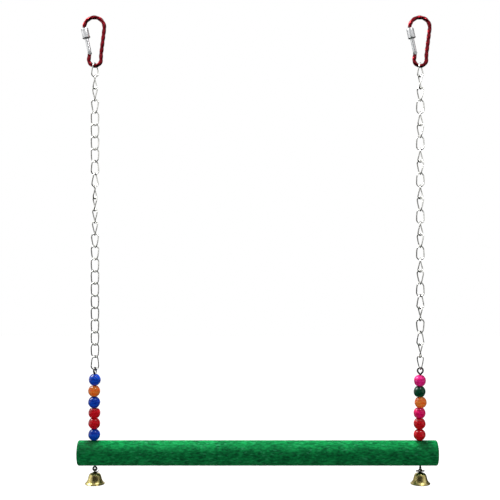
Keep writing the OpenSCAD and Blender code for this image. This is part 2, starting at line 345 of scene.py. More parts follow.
def wire_ring(name: str, sides: tuple[int, int], radius: float, wire_d: float,
              rotation: Spot = ALONG_Y, place: Matrix | None = None) -> Piece:
    """Add a ring of round wire that stands upright in the picture's plane.

    Args:
        name: The piece's name.
        sides: Points round the ring and round its wire.
        radius: From the ring's middle to the wire's middle.
        wire_d: The wire's diameter.
        rotation: Its turn, from an axis along Z.
        place: Where it goes, or None for the origin.

    Returns:
        The ring.
    """
    clear_selection()
    bpy.ops.mesh.primitive_torus_add(major_segments=sides[0], minor_segments=sides[1],
                                     major_radius=radius, minor_radius=wire_d / 2,
                                     rotation=rotation)
    return settle(named(name), place)


def pull_ring(radius: float, rise: float, last_radius: float, height: float) -> None:
    """Extrude the selected round edge loop to a new radius and height about the Z axis.

    Args:
        radius: The new ring's radius.
        rise: How much higher the new ring is.
        last_radius: The radius of the ring that is selected.
        height: The new ring's height.
    """
    bpy.ops.mesh.extrude_edges_move(TRANSFORM_OT_translate={"value": (0, 0, rise)})
    share = radius / last_radius
    bpy.ops.transform.resize(value=(share, share, 1), center_override=(0, 0, height))


def turned(name: str, outline: Outline, sides: int, closed: bool = False) -> Piece:
    """Turn an outline about the Z axis, ring by ring, as on a lathe.

    Args:
        name: The piece's name.
        outline: Radius and height of each ring, in order.
        sides: Points in each ring.
        closed: Whether the last ring joins the first, as on a sleeve.

    Returns:
        The turned piece, open at its first and last ring unless it is closed.
    """
    clear_selection()
    radius, height = outline[0]
    bpy.ops.mesh.primitive_circle_add(vertices=sides, radius=radius, fill_type="NOTHING",
                                      location=(0, 0, height))
    piece = settle(named(name))
    with editing(piece):
        bpy.ops.mesh.select_all(action="SELECT")
        for next_radius, next_height in outline[1:]:
            pull_ring(next_radius, next_height - height, radius, next_height)
            radius, height = next_radius, next_height
        if closed:
            bpy.ops.mesh.select_all(action="DESELECT")
            bpy.ops.mesh.select_mode(type="EDGE")
            bpy.ops.mesh.select_non_manifold()
            bpy.ops.mesh.bridge_edge_loops()
    if closed:
        face_outwards(piece)
    return piece


# Finishes

@dataclass
class Recipe:
    """A material's node tree, filled one node at a time."""

    name: str
    material: bpy.types.Material = field(init=False)

    # Where a node that mixes colours keeps its share, its two colours and its result
    MIX_INPUTS = (0, 6, 7)
    MIX_RESULT = 2

    def __post_init__(self) -> None:
        """Start the material with an empty tree."""
        self.material = bpy.data.materials.new(self.name)
        self.material.use_nodes = True
        self.material.node_tree.nodes.clear()

    def add(self, kind: str, settings: dict[str, object] | None = None,
            **inputs: object) -> bpy.types.Node:
        """Add a node, and link or set its inputs.

        Args:
            kind: The node's type, without its Shader prefix.
            settings: The node's own settings.
            **inputs: Values or sockets by input name, with _ for a space.

        Returns:
            The new node.
        """
        node = self.material.node_tree.nodes.new("ShaderNode" + kind)
        for name, value in (settings or {}).items():
            setattr(node, name, value)
        for name, value in inputs.items():
            self.set(node, name.replace("_", " "), value)
        return node

    def set(self, node: bpy.types.Node, key: str | int, value: object) -> None:
        """Link a socket to an input, or set the input's own value.

        Args:
            node: The node that has the input.
            key: The input's name or number.
            value: The socket or the value.
        """
        if isinstance(value, bpy.types.NodeSocket):
            self.material.node_tree.links.new(value, node.inputs[key])
        else:
            node.inputs[key].default_value = value

    def place(self, stretch: Spot = (1, 1, 1)) -> Socket:
        """Give the place on the object, stretched along its axes."""
        spot = self.add("TexCoord").outputs["Object"]
        return self.add("Mapping", Vector=spot, Scale=stretch).outputs["Vector"]

    def noise(self, size: float, detail: float = 3.0, where: Socket | None = None,
              roughness: float = 0.55) -> Socket:
        """Give a cloudy pattern whose patches are about a size in metres."""
        spot = where if where is not None else self.place()
        return self.add("TexNoise", Vector=spot, Scale=1 / size, Detail=detail,
                        Roughness=roughness).outputs["Fac"]

    def grains(self, size: float, where: Socket, output: str = "Distance") -> Socket:
        """Give a pattern of grains that are about a size in metres."""
        return self.add("TexVoronoi", Vector=where, Scale=1 / size).outputs[output]

    def bands(self, pitch: float, where: Socket, distortion: float = 0.0) -> Socket:
        """Give bands across Z with a pitch in metres, which is pi / 10 at the node's scale 1."""
        return self.add("TexWave", {"wave_type": "BANDS", "bands_direction": "Z"}, Vector=where,
                        Scale=math.pi / 10 / pitch, Distortion=distortion).outputs["Fac"]

    def ramp(self, value: Socket, stops: Iterable[tuple[float, Colour]]) -> Socket:
        """Turn a value into a colour.

        Args:
            value: The value.
            stops: A few values, in order, and the colour at each.

        Returns:
            The colour.
        """
        node = self.add("ValToRGB", Fac=value)
        chosen = list(stops)
        while len(node.color_ramp.elements) < len(chosen):
            node.color_ramp.elements.new(0.5)
        for element, (position, colour) in zip(node.color_ramp.elements, chosen):
            element.position = position
            element.color = colour
        return node.outputs["Color"]

    def span(self, value: Socket, low: float, high: float, start: float = 0.3,
             end: float = 0.7) -> Socket:
        """Map a pattern's value between start and end onto the range from low to high."""
        return self.add("MapRange", Value=value, From_Min=start, From_Max=end, To_Min=low,
                        To_Max=high).outputs["Result"]

    def blend(self, share: Socket | float, first: Socket | Colour, second: Socket | Colour,
              mode: Blend = Blend.MIX) -> Socket:
        """Mix two colours.

        Args:
            share: How much of the second one is used.
            first: The first colour.
            second: The second colour.
            mode: How they are mixed.

        Returns:
            The mixed colour.
        """
        node = self.add("Mix", {"data_type": "RGBA", "blend_type": mode.value})
        for key, value in zip(self.MIX_INPUTS, (share, first, second)):
            self.set(node, key, value)
        return node.outputs[self.MIX_RESULT]

    def math(self, work: Sum, first: Socket | float, second: Socket | float) -> Socket:
        """Work out one sum.

        Args:
            work: Which sum it is.
            first: The first number.
            second: The second number.

        Returns:
            The result.
        """
        node = self.add("Math", {"operation": work.value})
        self.set(node, 0, first)
        self.set(node, 1, second)
        return node.outputs[0]

    def weigh(self, first: Socket, share: float, second: Socket, second_share: float) -> Socket:
        """Add two patterns, each by its own share."""
        return self.math(Sum.ADD, self.math(Sum.MULTIPLY, first, share),
                         self.math(Sum.MULTIPLY, second, second_share))

    def bump(self, height: Socket, depth: float, strength: float = 1.0,
             under: Socket | None = None) -> Socket:
        """Give normals from a height pattern.

        Args:
            height: The pattern.
            depth: Its depth in metres.
            strength: How much of it shows.
            under: The normals of a pattern under this one.

        Returns:
            The normals.
        """
        node = self.add("Bump", Height=height, Strength=strength, Distance=depth)
        if under is not None:
            self.set(node, "Normal", under)
        return node.outputs["Normal"]

    def finish(self, **inputs: object) -> bpy.types.Material:
        """Close the tree with one principled surface.

        Args:
            **inputs: The surface's values or sockets by name, with _ for a space.

        Returns:
            The material.
        """
        surface = self.add("BsdfPrincipled", **inputs)
        self.add("OutputMaterial", Surface=surface.outputs["BSDF"])
        return self.material


@dataclass(frozen=True)
class GritCoat:
    """Green paint over sharp grains that are glued all round the perch."""

    light: Colour = srgb(18, 142, 72)
    middle: Colour = srgb(4, 112, 55)
    dark: Colour = srgb(0, 76, 38)
    glint: Colour = srgb(48, 148, 96)
    stretch: Spot = (0.42, 1, 1)
    grain: float = 1.7 * MM
    patch: float = 9 * MM
    patch_share: float = 0.3
    tone_stops: tuple[float, float, float] = (0.37, 0.5, 0.63)
    cell_share: float = 0.6
    spark_stops: tuple[float, float] = (0.9, 0.98)
    spark_share: float = 0.5
    polish: tuple[float, float] = (0.8, 0.5)
    facet_share: float = 0.5
    facet_depth: float = 0.16 * MM
    pit_share: float = 0.3
    pit_depth: float = 0.07 * MM
    relief: float = 0.6
    shine: float = 0.08

    def material(self) -> bpy.types.Material:
        """Make the coat's material.

        Returns:
            The material.
        """
        recipe = Recipe("grit_coat")
        streaks = recipe.place(self.stretch)
        grains = recipe.noise(self.grain, 4, streaks, 0.62)
        patches = recipe.noise(self.patch, 2)
        mixed = recipe.weigh(grains, 1 - self.patch_share, patches, self.patch_share)
        body = recipe.ramp(mixed, zip(self.tone_stops, (self.dark, self.middle, self.light)))
        cells = recipe.grains(self.grain * self.cell_share, streaks, "Color")
        chance = recipe.add("SeparateColor", Color=cells).outputs[0]
        sparks = recipe.span(chance, 0, self.spark_share, *self.spark_stops)
        colour = recipe.blend(sparks, body, self.glint)
        rough = recipe.span(sparks, *self.polish, 0, self.spark_share)
        facets = recipe.bump(recipe.grains(self.grain * self.facet_share, streaks),
                             self.facet_depth, self.relief)
        normal = recipe.bump(recipe.noise(self.grain * self.pit_share, 2), self.pit_depth,
                             self.relief, facets)
        return recipe.finish(Base_Color=colour, Roughness=rough, Normal=normal,
                             Specular_IOR_Level=self.shine)


class Paint(Enum):
    """The beads' paints: name of the slot, light tone and deep tone."""

    BLUE = ("bead_blue", srgb(12, 81, 208), srgb(0, 43, 168))
    ORANGE = ("bead_orange", srgb(255, 146, 60), srgb(255, 98, 20))
    RED = ("bead_red", srgb(230, 12, 32), srgb(188, 0, 16))
    PINK = ("bead_pink", srgb(255, 46, 148), srgb(232, 8, 114))
    MAGENTA = ("bead_magenta", srgb(250, 14, 112), srgb(216, 0, 84))
    GREEN = ("bead_green", srgb(6, 84, 54), srgb(0, 54, 32))


@dataclass(frozen=True)
class BeadPaint:
    """Glossy dip paint on turned wood, a little thin over the grain."""

    paint: Paint
    pool: float = 3.2 * MM
    pool_share: float = 0.75
    ring_pitch: float = 0.9 * math.pi * MM
    ring_share: float = 0.2
    ring_wander: float = 5.0
    tone_stops: tuple[float, float] = (0.3, 0.62)
    polish: tuple[float, float] = (0.24, 0.36)
    dent_depth: float = 0.25 * MM
    dent_relief: float = 0.22
    peel: float = 0.5 * MM
    peel_depth: float = 0.015 * MM
    peel_relief: float = 0.4
    shine: float = 0.12
    gloss: float = 0.6
    gloss_ior: float = 1.26
    gloss_blur: float = 0.08

    def material(self) -> bpy.types.Material:
        """Make the paint's material.

        Returns:
            The material.
        """
        slot, light, deep = self.paint.value
        recipe = Recipe(slot)
        pools = recipe.noise(self.pool, 3)
        rings = recipe.bands(self.ring_pitch, recipe.place(), self.ring_wander)
        mixed = recipe.weigh(pools, self.pool_share, rings, self.ring_share)
        colour = recipe.ramp(mixed, zip(self.tone_stops, (deep, light)))
        rough = recipe.span(recipe.noise(self.pool * 0.5), *self.polish)
        dents = recipe.bump(pools, self.dent_depth, self.dent_relief)
        normal = recipe.bump(recipe.noise(self.peel, 2), self.peel_depth, self.peel_relief, dents)
        return recipe.finish(Base_Color=colour, Roughness=rough, Normal=normal,
                             Specular_IOR_Level=self.shine, Coat_Weight=self.gloss,
                             Coat_IOR=self.gloss_ior, Coat_Roughness=self.gloss_blur,
                             Coat_Normal=dents)


@dataclass(frozen=True)
class Metal:
    """A bare or plated metal: its tones, its polish and the size of its marks."""

    name: str
    light: Colour
    dark: Colour
    polish: tuple[float, float]
    mark: float = 1.6 * MM
    tone_stops: tuple[float, float] = (0.32, 0.62)
    cloud_share: float = 0.6
    scratch_share: float = 0.18
    depth: float = 0.02 * MM
    relief: float = 0.6
    coat: float = 0.0
    coat_ior: float = 1.25
    coat_blur: float = 0.18
    thread: float = 0.0
    thread_depth: float = 0.06 * MM
    # How dark the painted shade in a thread's grooves is, and where across each band it falls
    groove_shade_share: float = 0.4
    groove_shade_stops: tuple[float, float] = (0.05, 0.3)
    lean: float = math.radians(12.19)
    # Tint of the reflection at grazing angles: a tint darker than white is painted shade along
    # the rims
    edge: Colour = WHITE

    def material(self) -> bpy.types.Material:
        """Make the metal's material, with a fine thread where the metal has one, and painted
        shade in the thread's grooves.

        Returns:
            The material.
        """
        recipe = Recipe(self.name)
        where = recipe.place()
        marks = recipe.noise(self.mark, 4, where, 0.6)
        colour = recipe.ramp(marks, zip(self.tone_stops, (self.dark, self.light)))
        clouds = recipe.noise(self.mark * self.cloud_share, 3, where)
        rough = recipe.span(clouds, *self.polish)
        scratches = recipe.noise(self.mark * self.scratch_share, 2, where)
        normal = recipe.bump(scratches, self.depth, self.relief)
        if self.thread:
            along = recipe.add("Mapping", Vector=where, Rotation=(0, self.lean, 0))
            turns = recipe.bands(self.thread, along.outputs["Vector"])
            # Painted shade: the colour is darkened in the thread's grooves, where shade would
            # fall
            groove_shade = recipe.span(turns, self.groove_shade_share, 0, *self.groove_shade_stops)
            colour = recipe.blend(groove_shade, colour, self.dark, Blend.MULTIPLY)
            normal = recipe.bump(turns, self.thread_depth, 1.0, normal)
        # The edge tint darkens the reflection at grazing angles: painted shade along the rims
        return recipe.finish(Base_Color=colour, Metallic=1.0, Roughness=rough, Normal=normal,
                             Specular_Tint=self.edge, Coat_Weight=self.coat,
                             Coat_IOR=self.coat_ior, Coat_Roughness=self.coat_blur)


class Finishes:
    """Every finish of the swing, made once and shared by the pieces that wear it."""

    METALS = (
        Metal("pin_steel", srgb(150, 150, 148), srgb(88, 88, 86), (0.22, 0.42)),
        Metal("chain_wire", srgb(232, 232, 228), srgb(170, 170, 164), (0.08, 0.22)),
        Metal("bell_brass", srgb(206, 192, 128), srgb(154, 138, 78), (0.26, 0.44), mark=3 * MM),
        Metal("bell_wire", srgb(130, 122, 80), srgb(74, 66, 34), (0.2, 0.4)),
        # The rod's, the gate's and the nut's edge tints are painted shade: darker reflections
        # along their rims
        Metal("red_rod", srgb(136, 2, 25), srgb(92, 0, 15), (0.2, 0.3), mark=2.2 * MM, coat=0.8,
              edge=srgb(80, 0, 10)),
        Metal("gate_silver", srgb(226, 227, 228), srgb(188, 189, 191), (0.12, 0.26),
              mark=1.2 * MM, thread=0.9 * MM, edge=srgb(84, 84, 84)),
        Metal("nut_silver", srgb(224, 225, 226), srgb(188, 189, 191), (0.12, 0.24),
              mark=1.4 * MM, edge=srgb(130, 128, 126)),
        Metal("spring_steel", srgb(140, 142, 146), srgb(92, 94, 98), (0.24, 0.4)),
    )

    def __init__(self) -> None:
        """Make the materials."""
        self.made = {metal.name: metal.material() for metal in self.METALS}
        self.made["perch_grit"] = GritCoat().material()
        for paint in Paint:
            self.made[paint.value[0]] = BeadPaint(paint).material()

    def dress(self, piece: Piece, slot: str) -> None:
        """Give a new piece its finish and its slot.

        Args:
            piece: The piece.
            slot: The record's slot, which is also the finish's name.
        """
        piece.data.materials.clear()
        piece.data.materials.append(self.made[slot])

    def dress_node(self, node: str, slot: str) -> None:
        """Give a carried-over node a finish through its object's material slots.

        Args:
            node: The node's name.
            slot: The finish's name.
        """
        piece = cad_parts[node]
        for holder in piece.material_slots:
            holder.link = "OBJECT"
            holder.material = self.made[slot]


# Pieces of the swing

@dataclass
class Perch:
    """The round wooden perch in its coat of grit."""

    finishes: Finishes
    sides: int = 96
    edge_round: float = 1.0 * MM
    edge_steps: int = 8
    hole_d: float = 1.6 * MM
    hole_sides: int = 24
    drill_share: float = 3.0
    coat: float = 0.12 * MM
    voxel: float = 0.56 * MM
    lump: float = 2.2 * MM
    lump_share: float = 1.4
    grain: float = 0.9 * MM
    crease: float = 60.0

    def build(self) -> None:
        """Model the perch, drill it and give it its coat."""
        low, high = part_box("perch")
        middle = (low + high) / 2
        radius = (high.z - low.z) / 2 - self.coat / 2
        piece = cylinder("perch_bar", self.sides, radius, high.x - low.x, middle, ALONG_X)
        with editing(piece):
            pick(piece, Part.EDGES, lambda spot, run: abs(spot.x) > high.x - NEAR)
            bpy.ops.mesh.bevel(offset=self.edge_round, segments=self.edge_steps, affect="EDGES")
        apply_modifier(piece, "REMESH", mode="VOXEL", voxel_size=self.voxel)
        self.roughen(piece, "grit_lumps", self.lump, self.coat * self.lump_share)
        self.roughen(piece, "grit_grains", self.grain, self.coat)
        for side in Side:
            drill = cylinder("pin_drill", self.hole_sides, self.hole_d / 2,
                             self.drill_share * radius, (self.pin_x(side), 0, middle.z))
            combine(piece, drill, Work.CUT, Solver.MANIFOLD)
        smooth(piece, self.crease)
        self.finishes.dress(piece, "perch_grit")
        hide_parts("perch")
        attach(piece, "perch")
        LOG.info("perch_bar rides on perch")

    @staticmethod
    def pin_x(side: Side) -> float:
        """Give the place of a side's pin along the perch."""
        low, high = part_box(f"{side.value}_bead_1")
        return (low.x + high.x) / 2

    @staticmethod
    def roughen(piece: Piece, name: str, size: float, depth: float) -> None:
        """Push the surface in and out by a cloudy pattern.

        Args:
            piece: The mesh.
            name: The pattern's name.
            size: The size of the pattern's patches.
            depth: The depth between its peaks and its hollows.
        """
        pattern = bpy.data.textures.new(name, "CLOUDS")
        pattern.noise_scale = size
        apply_modifier(piece, "DISPLACE", texture=pattern, strength=depth, mid_level=0.5,
                       texture_coords="LOCAL")


@dataclass
class BeadStack:
    """The six painted beads that hang loose on one pin."""

    finishes: Finishes
    side: Side
    sides: int = 32
    rings: int = 20
    bore_d: float = 3.0 * MM
    bore_cuts: int = 3
    bevel: float = 0.5 * MM
    end_rise: float = 0.15 * MM
    rim_share: float = 1.12
    dent: float = 0.42 * MM
    dent_size: float = 4.5 * MM
    dent_level: float = 0.62
    calm_end_share: float = 0.92
    calm_bore_share: float = 1.4
    fade_share: float = 0.3
    crease: float = 60.0

    PAINTS = {
        Side.LEFT: [Paint.BLUE, Paint.RED, Paint.RED, Paint.BLUE, Paint.ORANGE, Paint.BLUE],
        Side.RIGHT: [Paint.RED, Paint.RED, Paint.MAGENTA, Paint.ORANGE, Paint.GREEN, Paint.PINK],
    }
    # How far each bead hangs to the side on its pin, in millimetres, within the bore's play
    LEANS = {
        Side.LEFT: [-0.6, -0.5, -0.45, -0.6, -0.6, -0.1],
        Side.RIGHT: [-0.6, -0.65, -0.65, 0.2, -0.6, -0.3],
    }

    def build(self) -> None:
        """Model each bead at its place on the pin."""
        beads = zip(self.PAINTS[self.side], self.LEANS[self.side])
        for number, (paint, lean) in enumerate(beads, start=1):
            node = f"{self.side.value}_bead_{number}"
            piece = self.bead(node + "_ball", node, lean * MM)
            self.finishes.dress(piece, paint.value[0])
            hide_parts(node)
            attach(piece, node)
            LOG.info("%s rides on %s", piece.name, node)

    def bead(self, name: str, node: str, lean: float) -> Piece:
        """Model one bead: a ball cut flat at both ends, bored, bevelled and a little uneven.

        Args:
            name: The piece's name.
            node: The node that it stands for.
            lean: How far it hangs to the side.

        Returns:
            The bead.
        """
        low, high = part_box(node)
        radius = (high.x - low.x) / 2
        half = (high.z - low.z) / 2
        bore = self.bore_d / 2
        mouth = bore + self.bevel
        cut = min(half - self.end_rise, math.sqrt(radius ** 2 - (self.rim_share * mouth) ** 2))
        rim = math.sqrt(radius ** 2 - cut ** 2)
        clear_selection()
        bpy.ops.mesh.primitive_uv_sphere_add(segments=self.sides, ring_count=self.rings,
                                             radius=radius)
        piece = named(name)
        with editing(piece):
            for way in (1, -1):
                bpy.ops.mesh.select_all(action="SELECT")
                bpy.ops.mesh.bisect(plane_co=(0, 0, way * cut), plane_no=(0, 0, way),
                                    clear_outer=True)
                pick(piece, Part.EDGES, lambda spot, run: way * spot.z > cut - NEAR / 2)
                pull_ring(mouth, way * (half - cut), rim, way * half)
                pull_ring(bore, -way * self.bevel, mouth, way * (half - self.bevel))
            pick(piece, Part.EDGES, lambda spot, run: math.hypot(spot.x, spot.y) < bore + NEAR
                 and abs(abs(spot.z) - half + self.bevel) < NEAR)
            bpy.ops.mesh.bridge_edge_loops(number_cuts=self.bore_cuts)
        face_outwards(piece)
        apply_modifier(piece, "SUBSURF", levels=1, render_levels=1)
        middle = (low.z + high.z) / 2
        settle(piece, Matrix.Translation(((low.x + high.x) / 2 + lean, 0, middle)))
        self.dent_sides(piece, middle, half)
        smooth(piece, self.crease)
        return piece

    def dent_sides(self, piece: Piece, middle: float, half: float) -> None:
        """Make a bead's sides uneven, and leave its ends and its bore as they are.

        Args:
            piece: The bead.
            middle: The height of its middle.
            half: Half of its height.
        """
        group = piece.vertex_groups.new(name="sides")
        pin_x = Perch.pin_x(self.side)
        for point in piece.data.vertices:
            rise = abs(point.co.z - middle) / half
            out = math.hypot(point.co.x - pin_x, point.co.y)
            share = min(1.0, max(0.0, (self.calm_end_share - rise) / self.fade_share))
            calm = out <= self.calm_bore_share * self.bore_d / 2
            group.add([point.index], 0.0 if calm else share, "REPLACE")
        pattern = bpy.data.textures.new(piece.name + "_dents", "CLOUDS")
        pattern.noise_scale = self.dent_size
        pattern.noise_depth = 1
        apply_modifier(piece, "DISPLACE", texture=pattern, strength=self.dent,
                       mid_level=self.dent_level, texture_coords="LOCAL", vertex_group="sides")


@dataclass
class Chain:
    """One chain of 25 twisted wire links, each run of three on one body."""

    finishes: Finishes
    side: Side
    pattern: Piece
    run_links: int = 3
    runs: int = 7

    # How far each link is turned from the one above, in degrees
    STEPS = {
        Side.LEFT: [50, 38, 32, 30, 30, 0, 0, 0, 30, 30, 30, 20, 10, 5, 25, 15, 15]
        + [0] * 7 + [30],
        Side.RIGHT: [50, 38, 32] + [60] * 16 + [30] + [60] * 4 + [30],
    }

    def groups(self) -> list[tuple[str, list[int]]]:
        """Name the nodes of links, and count the links of each from the top.

        Returns:
            Each node's name after chain_, and its links' numbers.
        """
        first = 3
        runs = []
        for run in range(self.runs):
            start = first + run * self.run_links
            runs.append((f"run_{run + 1}", list(range(start, start + self.run_links))))
        count = len(self.STEPS[self.side])
        return ([("link_1", [1]), ("link_2", [2])] + runs
                + [("link_last_but_one", [count - 1]), ("link_last", [count])])

    def build(self) -> None:
        """Copy the pattern link to every place in the chain."""
        first = self.middle_of(f"{self.side.value}_chain_link_1")
        second = self.middle_of(f"{self.side.value}_chain_link_2")
        pitch = first.z - second.z
        for group, numbers in self.groups():
            links = []
            for number in numbers:
                link = twin(self.pattern, f"{self.side.value}_link_{number}")
                turn = math.radians(sum(self.STEPS[self.side][:number]))
                drop_to = Vector((first.x, 0, first.z - (number - 1) * pitch))
                links.append(settle(link, Matrix.Translation(drop_to)
                                    @ Matrix.Rotation(turn, 4, "Z")))
            body = f"{self.side.value}_{group}"
            piece = joined(links, body + "_wire")
            self.finishes.dress(piece, "chain_wire")
            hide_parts(f"{self.side.value}_chain_{group}")
            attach(piece, body)
        LOG.info("%s chain: %d links on %d bodies", self.side.value, len(self.STEPS[self.side]),
                 len(self.groups()))

    @staticmethod
    def middle_of(node: str) -> Vector:
        """Give the middle of a node's box."""
        low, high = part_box(node)
        return (low + high) / 2


@dataclass
class LinkPattern:
    """The one link that every link of both chains is copied from."""

    wire_d: float = 1.1 * MM
    inner_length: float = 10.45 * MM
    inner_width: float = 5.0 * MM
    twist: float = 60.0
    weld: float = 1.07
    weld_reach: float = 0.25 * MM
    sides: tuple[int, int] = (30, 12)
    straight_cuts: int = 7
    crease: float = 60.0

    def build(self) -> Piece:
        """Model the link about the origin: a ring drawn long, then twisted about its length.

        Returns:
            The pattern link.
        """
        bend_r = (self.inner_width + self.wire_d) / 2
        half = (self.inner_length - self.inner_width) / 2
        half_step = math.pi / self.sides[0]
        piece = wire_ring("link_pattern", self.sides, bend_r, self.wire_d,
                          (math.pi / 2, half_step, 0))
        with editing(piece):
            for way in (1, -1):
                pick(piece, Part.POINTS, lambda spot, run: way * spot.z > 0)
                bpy.ops.transform.translate(value=(0, 0, way * half))
            pick(piece, Part.EDGES, lambda spot, run: abs(spot.z) < half and abs(run.z) > ALONG)
            bpy.ops.mesh.subdivide(number_cuts=self.straight_cuts)
            pick(piece, Part.POINTS,
                 lambda spot, run: spot.x > 0 and abs(spot.z) < self.weld_reach)
            bpy.ops.transform.resize(value=(self.weld, self.weld, 1),
                                     center_override=(bend_r, 0, 0))
        length = self.inner_length + 2 * self.wire_d
        middle_line = self.inner_length + self.wire_d
        apply_modifier(piece, "SIMPLE_DEFORM", deform_method="TWIST", deform_axis="Z",
                       angle=math.radians(self.twist * length / middle_line))
        smooth(piece, self.crease)
        return piece


@dataclass
class Bell:
    """One small brass bell with a flared mouth and a rolled rim."""

    finishes: Finishes
    side: Side
    sides: int = 48
    wall: float = 0.5 * MM
    lip_round: float = 0.1 * MM
    shell_crease: float = 50.0
    loop_crease: float = 40.0
    hole_r: float = 0.85 * MM
    ring_sides: tuple[int, int] = (36, 14)
    crown_r: float = 1.3 * MM
    crown_wire_d: float = 0.85 * MM
    ear_r: float = 0.45 * MM
    ear_wire_d: float = 0.62 * MM
    ear_stretch: float = 1.9
    ear_out: float = 2.35 * MM
    ear_drop: float = 0.45 * MM
    left_turn: float = 90.0
    cap_sides: int = 40
    cap_d: float = 5.0 * MM
    cap_h: float = 1.05 * MM
    cap_gap: float = 0.1 * MM
    post_sides: int = 32
    stem_d: float = 1.6 * MM
    collar_d: float = 3.2 * MM
    collar_h: float = 0.4 * MM
    inner_ring_r: float = 0.9 * MM
    inner_wire_d: float = 0.7 * MM
    prong_sides: int = 24
    prong_start: tuple[float, float] = (0.3 * MM, -1.55 * MM)
    prong_end: tuple[float, float] = (3.6 * MM, -0.25 * MM)

    # The shell's outside, from its rim up: shares of its radius and of its height
    SHARES = [(0.955, 0), (1, 0.06), (0.985, 0.09), (0.9, 0.15), (0.8, 0.25), (0.72, 0.4),
              (0.67, 0.56), (0.63, 0.72), (0.58, 0.85), (0.49, 0.95), (0.38, 1)]

    def ring(self, name: str, radius: float, wire_d: float, height: float) -> Piece:
        """Model a wire ring about the bell's axis at a height."""
        return wire_ring(name, self.ring_sides, radius, wire_d,
                         place=Matrix.Translation((0, 0, height)))

    def post(self, name: str, width: float, low: float, high: float) -> Piece:
        """Model an upright round post between two heights."""
        return cylinder(name, self.post_sides, width / 2, high - low, (0, 0, (low + high) / 2))

    def prong(self, centre: Vector) -> Piece:
        """Model the wire end that sticks out beside the left bell's crown.

        Args:
            centre: The crown's middle.

        Returns:
            The wire end.
        """
        start, end = (centre + Vector((x, 0, z)) for x, z in (self.prong_start, self.prong_end))
        way = end - start
        return cylinder("prong", self.prong_sides, self.inner_wire_d / 2, way.length,
                        (start + end) / 2, way.to_track_quat("Z", "Y").to_euler())

    def cap(self, low: float) -> Piece:
        """Model the low cone between the bell's roof and its crown.

        Args:
            low: The height of the cone's foot.

        Returns:
            The cone.
        """
        clear_selection()
        bpy.ops.mesh.primitive_cone_add(vertices=self.cap_sides, radius1=self.cap_d / 2,
                                        radius2=self.stem_d / 2, depth=self.cap_h,
                                        location=(0, 0, low + self.cap_h / 2))
        return settle(named("cap"))

    def ear(self, way: int, middle: float) -> Piece:
        """Model the small wire loop at one side of the crown.

        Args:
            way: 1 for the ear on the side of +X and -1 for the other.
            middle: The height of the crown's middle.

        Returns:
            The ear, drawn wide.
        """
        place = Matrix.Translation((way * self.ear_out, 0, middle - self.ear_drop))
        return settle(self.ring("ear", self.ear_r, self.ear_wire_d, 0),
                      place @ Matrix.Diagonal((self.ear_stretch, 1, 1, 1)))

    def loop(self) -> Piece:
        """Model the hanging loop: crown, ears, stem, collar, low cone and the clapper's ring.

        Returns:
            The loop, with its wire end on the left.
        """
        side = self.side.value
        low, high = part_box(f"{side}_bell_loop")
        foot = low.z + 2 * self.inner_ring_r + self.inner_wire_d / 2
        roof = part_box(f"{side}_bell_shell")[1].z
        middle = high.z - self.crown_r - self.crown_wire_d / 2
        piece = self.ring(f"{side}_bell_crown", self.crown_r, self.crown_wire_d, middle)
        for way in (-1, 1):
            combine(piece, self.ear(way, middle), Work.ADD)
        for tool in (self.post("stem", self.stem_d, foot, middle - self.crown_r),
                     self.post("collar", self.collar_d, foot, foot + self.collar_h),
                     self.cap(roof + self.cap_gap),
                     self.ring("inner_ring", self.inner_ring_r, self.inner_wire_d,
                               foot - self.inner_ring_r)):
            combine(piece, tool, Work.ADD)
        centre = Vector(((low.x + high.x) / 2, 0, middle))
        turn = math.radians(self.left_turn if self.side is Side.LEFT else 0)
        settle(piece, Matrix.Translation((centre.x, 0, 0)) @ Matrix.Rotation(turn, 4, "Z"))
        if self.side is Side.LEFT:
            combine(piece, self.prong(centre), Work.ADD)
        smooth(piece, self.loop_crease)
        return piece

    def shell(self) -> Piece:
        """Model the shell: a turned outline with a wall and a soft lip.

        Returns:
            The shell.
        """
        low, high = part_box(f"{self.side.value}_bell_shell")
        radius = (high.x - low.x) / 2
        height = high.z - low.z
        outline = [(share * radius, low.z + rise * height) for share, rise in self.SHARES]
        outline.append((self.hole_r, high.z))
        piece = turned(f"{self.side.value}_bell_cup", outline, self.sides)
        with editing(piece):
            bpy.ops.mesh.select_all(action="SELECT")
            bpy.ops.mesh.normals_make_consistent(inside=False)
        apply_modifier(piece, "SOLIDIFY", thickness=self.wall, offset=-1, use_rim=True,
                       use_even_offset=True)
        apply_modifier(piece, "BEVEL", width=self.lip_round, segments=2, limit_method="ANGLE",
                       angle_limit=math.radians(self.shell_crease))
        apply_modifier(piece, "SUBSURF", levels=2, render_levels=2)
        settle(piece, Matrix.Translation(((low.x + high.x) / 2, 0, 0)))
        smooth(piece, self.shell_crease)
        return piece

    def build(self) -> None:
        """Model the shell and the loop, and dress the clapper."""
        side = self.side.value
        piece = self.shell()
        self.finishes.dress(piece, "bell_brass")
        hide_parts(f"{side}_bell_shell")
        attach(piece, f"{side}_bell_shell")
        crown = self.loop()
        self.finishes.dress(crown, "bell_wire")
        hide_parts(f"{side}_bell_loop")
        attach(crown, f"{side}_bell_loop")
        self.finishes.dress_node(f"{side}_bell_clapper", "bell_wire")
        LOG.info("%s bell: shell and crown on their own bodies", side)


